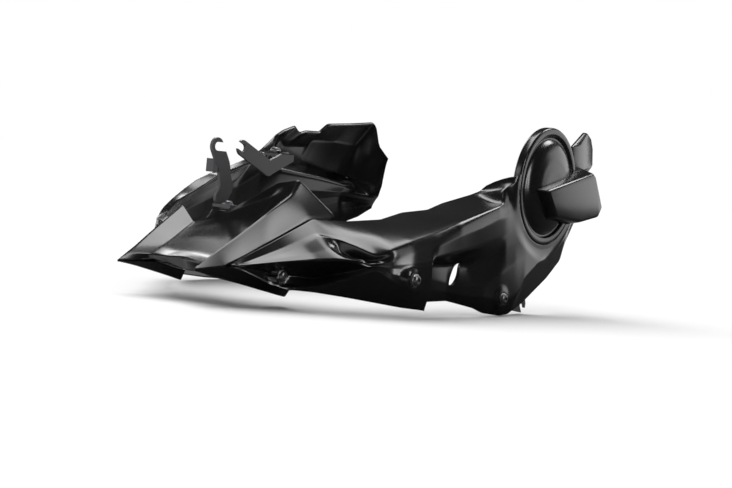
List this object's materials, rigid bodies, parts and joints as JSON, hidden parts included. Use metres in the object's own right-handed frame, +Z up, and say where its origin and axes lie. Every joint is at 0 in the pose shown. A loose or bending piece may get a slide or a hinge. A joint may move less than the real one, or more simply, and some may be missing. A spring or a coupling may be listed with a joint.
{
  "type": "motorcycle belly pan",
  "caption": "Belly pan of two moulded side panels and a twin-fanged nose piece, with a round side-case cover, steel hangers and bolts.",
  "frame": {"origin": "middle of the bounding box at the level of the lowest edges, which the pan rests on", "axes": "+X to the rear of the motorcycle, +Y to its right, +Z up; the nose tips point to -X"},
  "size_m": [0.5734, 0.3466, 0.205],
  "materials": {
    "satin_black": "satin outside, gloss inside",
    "coated_steel": "dark grey powder coat",
    "black_steel": "black oxide",
    "plain_steel": "zinc plated",
    "black_rubber": "matte"
  },
  "bodies": {
    "root": {"left_panel": "satin_black", "right_panel": "satin_black", "nose_piece": "satin_black", "hook_bracket": "coated_steel", "fork_bracket": "coated_steel", "rear_bracket": "coated_steel", "scoop_bolts": "black_steel", "scoop_washers": "plain_steel", "scoop_nuts": "plain_steel", "side_bolts": "black_steel", "side_washers": "plain_steel", "side_well_nuts": "black_rubber", "pod_bolt": "black_steel", "pod_washer": "plain_steel", "pod_nut": "plain_steel", "rim_bolt": "black_steel", "rim_washer": "plain_steel", "rim_nut": "plain_steel", "hook_bolt": "black_steel", "hook_washer": "plain_steel", "hook_nut": "plain_steel"}
  },
  "joints": []
}
